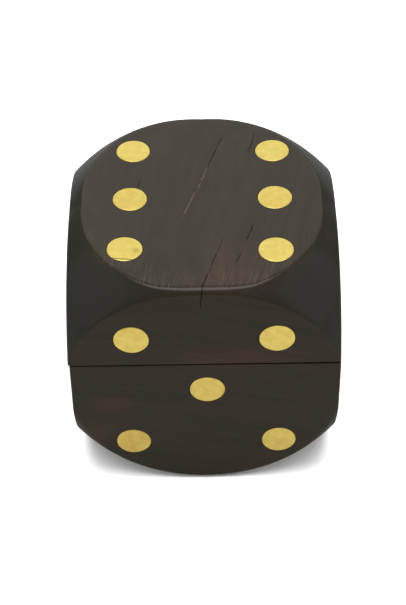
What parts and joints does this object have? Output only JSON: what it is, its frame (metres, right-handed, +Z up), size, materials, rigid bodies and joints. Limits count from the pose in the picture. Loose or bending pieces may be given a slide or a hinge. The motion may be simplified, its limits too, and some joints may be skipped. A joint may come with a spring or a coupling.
{
  "type": "dice box with hinged lid",
  "caption": "Wooden box shaped like a rounded die, with flush brass dots, a round hollow and a lid on a small brass butt hinge.",
  "frame": {"origin": "centre of the flat underside, where the box stands", "axes": "+Z up; -Y towards the face with five dots; the hinge is at +Y; +X to the right as seen from the five-dot face"},
  "size_m": [0.076, 0.0795, 0.076],
  "materials": {
    "dark_wood": "dark brown hardwood, sanded and waxed to a soft polish",
    "dot_brass": "brass rod ends sanded flush, satin, lightly stained",
    "hinge_brass": "stamped brass, satin"
  },
  "bodies": {
    "base": {"base": "dark_wood", "hinge_leaf_base": "hinge_brass", "hinge_pin": "hinge_brass", "hinge_screw_base_left": "hinge_brass", "hinge_screw_base_right": "hinge_brass", "dot_front_1": "dot_brass", "dot_front_3": "dot_brass", "dot_front_5": "dot_brass", "dot_right_1": "dot_brass", "dot_right_3": "dot_brass", "dot_left_2": "dot_brass", "dot_left_4": "dot_brass", "dot_back_2": "dot_brass", "dot_bottom_1": "dot_brass"},
    "lid": {"lid": "dark_wood", "hinge_leaf_lid": "hinge_brass", "hinge_screw_lid_left": "hinge_brass", "hinge_screw_lid_right": "hinge_brass", "dot_top_1": "dot_brass", "dot_top_2": "dot_brass", "dot_top_3": "dot_brass", "dot_top_4": "dot_brass", "dot_top_5": "dot_brass", "dot_top_6": "dot_brass", "dot_front_2": "dot_brass", "dot_front_4": "dot_brass", "dot_right_2": "dot_brass", "dot_left_1": "dot_brass", "dot_left_3": "dot_brass", "dot_back_1": "dot_brass"}
  },
  "joints": [
    {"name": "lid_hinge", "type": "hinge", "parent": "base", "child": "lid", "pos_m": [0, 0.0399, 0.0485], "axis": [-1, 0, 0], "range_deg": [0, 180]}
  ]
}
